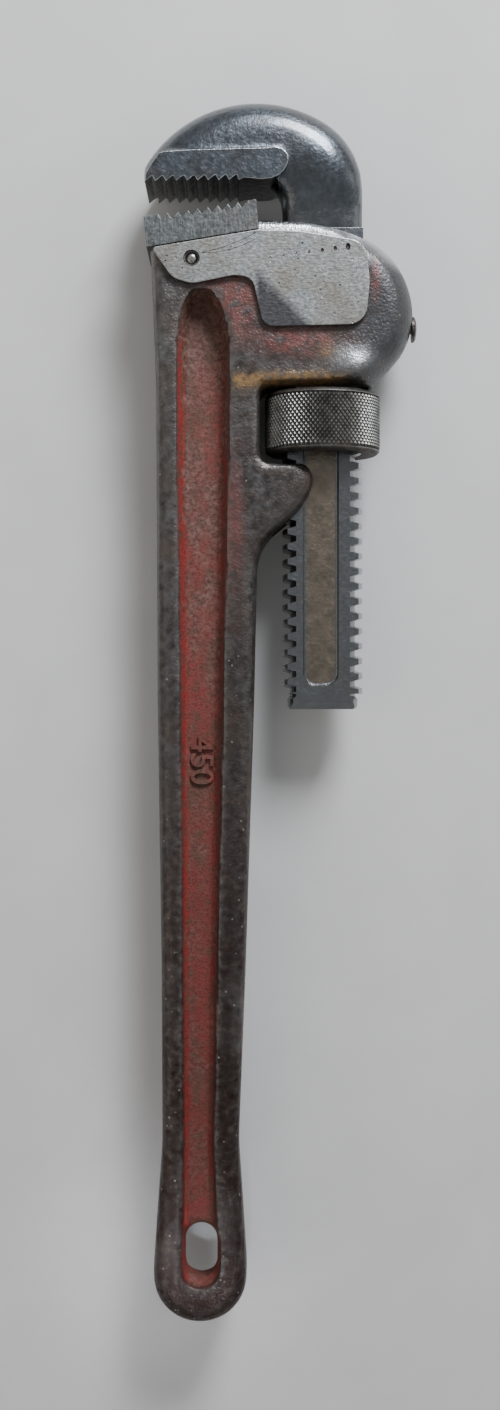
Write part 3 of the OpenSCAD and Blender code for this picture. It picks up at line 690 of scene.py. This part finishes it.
# near black on the teeth's downward faces, between the jaws: painted shade
skin = add(forged, "MixRGB", {"Fac": tooth_shade, "Color1": skin, "Color2": linear("#1d1a1a")})
gloss = add(forged, "MapRange", {"Value": mottle(forged, drawn, 1.3, 0.3, 0.7, 4), "To Min": 0.28,
                                 "To Max": 0.4})
hammered = add(forged, "Bump", {"Height": mottle(forged, drawn, 5, 0, 1, 2), "Distance": 0.5 * MM,
                                "Strength": 0.6})
hammered = add(forged, "Bump", {"Height": mottle(forged, drawn, 0.8, 0, 1, 3), "Distance": 0.16 * MM,
                                "Strength": 0.6, "Normal": hammered})
surface(forged, {"Base Color": skin, "Roughness": gloss, "Normal": hammered})
# the film of oil
oiled = forged.node_tree.nodes["Principled BSDF"]
oiled.inputs["Coat Weight"].default_value = 0.8
oiled.inputs["Coat Roughness"].default_value = 0.22

hook.name = hook.data.name = "hook_jaw_forging"
dress(hook, forged)
smooth(hook, 32)
place(hook)
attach(hook, "hook")
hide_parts("hook_jaw")

# ------------------------------------------------------------------ the heel jaw
# A separate toothed block of hardened steel, milled and left plain. Its tongue drops between the
# housing's cheeks, and one pin holds it there so that it can be changed when its teeth are worn.

heel_left = Vector((-60.1, 371.5))
along = Vector((math.cos(math.radians(8.8)), math.sin(math.radians(8.8))))
heel_right = heel_left + along * 38
row = teeth(heel_right - along * 2.6, heel_left + along * 5, 1.8, 9)
heel = plate("heel_block", [tuple(seat_left), tuple(seat_right), tuple(heel_right)] + row +
             [tuple(heel_left + along * 5), tuple(heel_left)], BLOCK, 0.25, 2)
combine(heel, plate("tongue", tongue_outline(0), 7.2), "UNION")
combine(heel, rod("pin_hole", 2.08, (*PIN, -30), (*PIN, 30), 32))

# Milled tool steel: mid grey and satin, with fine tool marks across it and warmer stains
milled, drawn = start_finish("milled_tool_steel", 1.0)
across = add(milled, "SeparateXYZ", {"Vector": drawn}, out="X")
stained = add(milled, "MapRange", {"Value": across, "From Min": -46, "From Max": -22})
grey = patches(milled, drawn, "#5e6160", "#8a8d8b", 1.4, 0.3, 0.7, 5)
grey = patches(milled, drawn, grey, "#77706a", 5, 0.35, 0.65, within=[stained, 0.6])
marks = mottle(milled, drawn, 0.6, 0.3, 0.7, 3, (1, 0.16, 1))
satin = add(milled, "MapRange", {"Value": marks, "To Min": 0.36, "To Max": 0.5})
rough = add(milled, "Bump", {"Height": marks, "Distance": 0.06 * MM, "Strength": 0.6})
rough = add(milled, "Bump", {"Height": mottle(milled, drawn, 1.1, 0, 1, 3), "Distance": 0.18 * MM,
                             "Strength": 0.6, "Normal": rough})
surface(milled, {"Base Color": grey, "Roughness": satin, "Normal": rough})
dress(heel, milled)
smooth(heel, 30)
place(heel)
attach(heel, "handle")
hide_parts("heel_jaw")

# ------------------------------------------------------------------ the heel jaw's pin
# A short pin of drawn steel, driven through both cheeks of the housing and the heel jaw's
# tongue, and dressed off into a shallow dome at each end.

ends = [(0.55, 15.85), (1.15, 15.75), (1.65, 15.5), (1.95, 15.1), (2.05, 14.6)]
ring = arc((0, 0), 1, 0, 348.75, 31)
pin = stack("heel_pin", [([(PIN[0] + px * r, PIN[1] + py * r) for px, py in ring], h) for r, h in
                         [(r, -h) for r, h in ends] + [(r, h) for r, h in reversed(ends)]])

# Drawn steel: brighter than the iron round it, with a warm film
drawn_steel, drawn = start_finish("drawn_steel_pin", 1.0)
gloss = add(drawn_steel, "MapRange", {"Value": mottle(drawn_steel, drawn, 0.7, 0.3, 0.7),
                                      "To Min": 0.25, "To Max": 0.4})
surface(drawn_steel, {"Roughness": gloss, "Base Color": patches(
    drawn_steel, drawn, "#8b8780", "#b9b6b0", 0.9, 0.35, 0.65, 3)})
dress(pin, drawn_steel)
smooth(pin, 50)
place(pin)
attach(pin, "handle")
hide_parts("heel_jaw_pin")

# ------------------------------------------------------------------ the adjusting nut
# Turned from steel bar, threaded inside to match the shank, and rolled with a diamond knurl
# between two smooth chamfers. It sits in the housing's window and drives the hook jaw.

NUT_FOOT, NUT_LENGTH, NUT_R = 293.7, 20.6, 19.6
KNURL_LOW, KNURL_HIGH = 1.3, 19.3       # the knurl's borders above the nut's foot
COLUMNS, ROWS, SINK = 76, 9, 0.62       # its cells round the nut and along it, and its depth
bpy.ops.object.select_all(action="DESELECT")
bpy.ops.mesh.primitive_cylinder_add(vertices=COLUMNS, radius=NUT_R - SINK, depth=KNURL_HIGH - KNURL_LOW,
                                    end_fill_type="NOTHING")
nut = bpy.context.object
nut.name = nut.data.name = "knurled_nut"
bpy.ops.object.mode_set(mode="EDIT")
work = bmesh.from_edit_mesh(nut.data)
uprights = [e for e in work.edges if abs(e.verts[0].co.z - e.verts[1].co.z) > 1]
bmesh.ops.subdivide_edges(work, edges=uprights, cuts=ROWS - 1, use_grid_fill=True)
bmesh.update_edit_mesh(nut.data)
bpy.ops.mesh.select_all(action="SELECT")
bpy.ops.mesh.select_mode(type="EDGE")
work = bmesh.from_edit_mesh(nut.data)
work.verts.index_update()
first_count = len(work.verts)
bpy.ops.mesh.select_mode(type="FACE")
bpy.ops.mesh.select_all(action="SELECT")
bpy.ops.mesh.poke()
bpy.ops.mesh.select_mode(type="EDGE")
work = bmesh.from_edit_mesh(nut.data)
for edge in work.edges:
    both = [v.index for v in edge.verts]
    edge.select_set(max(both) < first_count and len(edge.link_faces) == 2)
bmesh.update_edit_mesh(nut.data)
bpy.ops.mesh.dissolve_edges(use_verts=False)
bpy.ops.object.mode_set(mode="OBJECT")
table = points(nut)
table[:, :2] *= ((NUT_R - SINK) / np.linalg.norm(table[:, :2], axis=1))[:, None]
move_points(nut, table)
bpy.ops.object.mode_set(mode="EDIT")
bpy.ops.mesh.select_mode(type="FACE")
work = bmesh.from_edit_mesh(nut.data)
for facet in work.faces:
    facet.select_set(len(facet.verts) == 4)
bmesh.update_edit_mesh(nut.data)
bpy.ops.mesh.inset(thickness=0.52, depth=SINK - 0.06, use_individual=True)
# smooth chamfered rims and flat ends grow from the knurl's two borders
for low in (True, False):
    outward = -1 if low else 1
    bpy.ops.mesh.select_mode(type="EDGE")
    work = bmesh.from_edit_mesh(nut.data)
    for edge in work.edges:
        edge.select_set(len(edge.link_faces) == 1 and (edge.verts[0].co.z < 0) == low)
    bmesh.update_edit_mesh(nut.data)
    reach = (KNURL_LOW if low else NUT_LENGTH - KNURL_HIGH)
    for radius, step in ((NUT_R - 0.15, 0.05), (NUT_R - 0.55, 0.45 * reach), (NUT_R - 1.5, 0.5 * reach),
                         (12.6, 0)):
        bpy.ops.mesh.extrude_edges_move(TRANSFORM_OT_translate={"value": (0, 0, outward * step)})
        work = bmesh.from_edit_mesh(nut.data)
        for v in work.verts:
            if v.select:
                length = math.hypot(v.co.x, v.co.y)
                v.co.x *= radius / length
                v.co.y *= radius / length
        bmesh.update_edit_mesh(nut.data)
    bpy.ops.mesh.edge_face_add()
bpy.ops.mesh.select_all(action="SELECT")
bpy.ops.mesh.normals_make_consistent(inside=False)
bpy.ops.object.mode_set(mode="OBJECT")
nut.data.transform(Matrix.Rotation(-math.pi / 2, 4, "X"))
nut.data.transform(Matrix.Translation((0, NUT_FOOT - points(nut)[:, 1].min(), 0)))
combine(nut, screw("nut_thread", THREAD_Y + PITCH * 13, 10, 0.35, 32))
table = points(nut)
radial = np.hypot(table[:, 0], table[:, 2])
brush(nut, "crest", (radial - (NUT_R - SINK)) / SINK)

# Turned and knurled steel: dirty grooves between crests that hands keep bright
knurled, drawn = start_finish("knurled_turned_steel", 1.0)
crest = add(knurled, "Attribute", out="Fac", attribute_name="crest")
bright = patches(knurled, drawn, "#83847c", "#b3b5b1", 3, 0.35, 0.65, 4)
dirty = patches(knurled, drawn, "#3a3633", "#5a534d", 2, 0.35, 0.65, 4)
surface(knurled, {
    "Base Color": add(knurled, "MixRGB", {"Fac": crest, "Color1": dirty, "Color2": bright}),
    "Roughness": add(knurled, "MapRange", {"Value": crest, "To Min": 0.6, "To Max": 0.3}),
    "Normal": add(knurled, "Bump", {"Height": mottle(knurled, drawn, 0.7, 0, 1, 3),
                                    "Distance": 0.1 * MM, "Strength": 0.5})})
dress(nut, knurled)
smooth(nut, 24)
place(nut)
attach(nut, "nut")
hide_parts("adjusting_nut")

# ------------------------------------------------------------------ the springs
# A bowed leaf of spring steel presses on the shank's back, and a short coil behind it pushes it
# forward. Both are hardened and tempered blue-grey, and sit in the housing out of sight.

# Tempered spring steel: blue-grey and fairly bright, clouded by the heat
spring_steel, drawn = start_finish("tempered_spring_steel", 1.0)
gloss = add(spring_steel, "MapRange", {"Value": mottle(spring_steel, drawn, 0.8, 0.3, 0.7),
                                       "To Min": 0.25, "To Max": 0.42})
surface(spring_steel, {"Roughness": gloss, "Base Color": patches(
    spring_steel, drawn, "#50565e", "#8a8f93", 1.5, 0.35, 0.65, 4)})

LEAF_X, LEAF_T = 13.95, 0.9
# the leaf bows away from the shank at its ends, as (height, bow)
bow = [(318, 0.35), (319.4, 0.2), (322, 0.04), (328, 0), (346, 0), (352, 0.04), (354.6, 0.2), (356, 0.35)]
leaf = plate("leaf_spring", [(LEAF_X + d + LEAF_T, v) for v, d in bow] +
             [(LEAF_X + d, v) for v, d in reversed(bow)], 5, 0.2, 2)
dress(leaf, spring_steel)
smooth(leaf, 30)
place(leaf)
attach(leaf, "rocker")
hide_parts("flat_spring")

WIRE, COIL_R, COIL_TURNS = 1.2, 3.9, 4.5
coil_x = (LEAF_X + LEAF_T + 0.1 + WIRE / 2, 24.2 - 0.1 - WIRE / 2)
bpy.ops.object.select_all(action="DESELECT")
bpy.ops.mesh.primitive_circle_add(vertices=12, radius=WIRE / 2)
coil = bpy.context.object
coil.name = coil.data.name = "coil_of_wire"
coil.data.transform(Matrix.Translation((coil_x[0], COIL_R, 0)))
modify(coil, "SCREW", axis="X", angle=2 * math.pi * COIL_TURNS, screw_offset=coil_x[1] - coil_x[0],
       steps=110, render_steps=110, use_merge_vertices=False)
bpy.ops.object.mode_set(mode="EDIT")
bpy.ops.mesh.select_all(action="SELECT")
bpy.ops.mesh.fill_holes(sides=0)
bpy.ops.mesh.select_all(action="SELECT")
bpy.ops.mesh.normals_make_consistent(inside=False)
bpy.ops.object.mode_set(mode="OBJECT")
coil.data.transform(Matrix.Translation((0, SPRING_Y, 0)))
dress(coil, spring_steel)
smooth(coil, 50)
place(coil)
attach(coil, "handle")
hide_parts("coil_spring")

# ------------------------------------------------------------------ the spring's rivet
# A soft steel rivet through the housing's back. It guides the coil, and its outer head was
# peened over into a low dome.

dome = [(1.5, 17), (1.5, 30.3), (4.4, 30.3), (4.4, 30.85), (4.1, 31.25), (3.4, 31.6), (2.3, 31.85),
        (1.0, 31.98)]
rivet = stack("peened_rivet", [([(px * r, py * r) for px, py in ring], h) for r, h in dome])
rivet.data.transform(Matrix.Translation((0, SPRING_Y, 0)) @ Matrix.Rotation(math.pi / 2, 4, "Y"))

# Soft steel, peened cold: brown-grey, with the hammer's shallow dents
peened, drawn = start_finish("peened_soft_steel", 1.0)
surface(peened, {
    "Base Color": patches(peened, drawn, "#4a4542", "#77726c", 1.2, 0.35, 0.65, 4),
    "Roughness": add(peened, "MapRange", {"Value": mottle(peened, drawn, 0.8, 0.3, 0.7),
                                          "To Min": 0.32, "To Max": 0.5}),
    "Normal": add(peened, "Bump", {"Height": mottle(peened, drawn, 1.4, 0, 1, 2),
                                   "Distance": 0.3 * MM})})
dress(rivet, peened)
smooth(rivet, 50)
place(rivet)
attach(rivet, "handle")
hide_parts("spring_rivet")

# ------------------------------------------------------------------ the floor, light and camera
# The wrench lies on a plain pale floor and is seen from straight above. A window beyond its head,
# to the right, lights it; weak lights fill in from the two sides and touch the handle's end.

bpy.ops.object.select_all(action="DESELECT")
bpy.ops.mesh.primitive_plane_add(size=6)
floor = bpy.context.object
floor.name = "floor"
# Pale matt paper: nearly white, with a very faint cloudiness
paper, drawn = start_finish("pale_matt_paper", 0.0, 0.9)
surface(paper, {"Base Color": patches(paper, drawn, "#dcdad6", "#e2e0dc", 30, 0.3, 0.7)})
dress(floor, paper)
floor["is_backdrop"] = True


def lamp(name, place_m, aim_m, size, power, colour="#ffffff", spread=180):
    """Square soft light that faces a point, with its beam narrowed to `spread` degrees."""
    bpy.ops.object.light_add(type="AREA", location=place_m)
    light = bpy.context.object
    light.name = name
    light.data.size = size
    light.data.energy = power
    light.data.spread = math.radians(spread)
    light.data.color = linear(colour)[:3]
    light.rotation_euler = (Vector(aim_m) - Vector(place_m)).to_track_quat("-Z", "Y").to_euler()


lamp("window_light", (0.3, 0.85, 0.62), (0, 0.12, 0.02), 0.36, 15, "#f2f6ff")
lamp("far_side_light", (0.9, 0.3, 0.4), (0, 0, 0.02), 0.4, 0.5)
lamp("end_light", (-0.075, -0.37, 0.63), (-0.043, -0.2, 0.03), 0.06, 0.005, "#eaf2ff", 8)
lamp("fill_light", (-0.7, -0.3, 0.7), (0, 0, 0.02), 0.8, 1.5, "#fff4ea")
world = bpy.data.worlds.new("soft_room")
world.use_nodes = True
world.node_tree.nodes["Background"].inputs["Color"].default_value = linear("#c9ccd0")
world.node_tree.nodes["Background"].inputs["Strength"].default_value = 0.55
bpy.context.scene.world = world

bpy.ops.object.camera_add(location=(-0.01015, 0.0022, 0.6996), rotation=(0, 0, 0))
camera = bpy.context.object
camera.data.sensor_fit = "VERTICAL"
camera.data.sensor_width = camera.data.sensor_height = 36
camera.data.lens = 51
camera.data.clip_start = 0.01
bpy.context.scene.camera = camera

low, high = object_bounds()
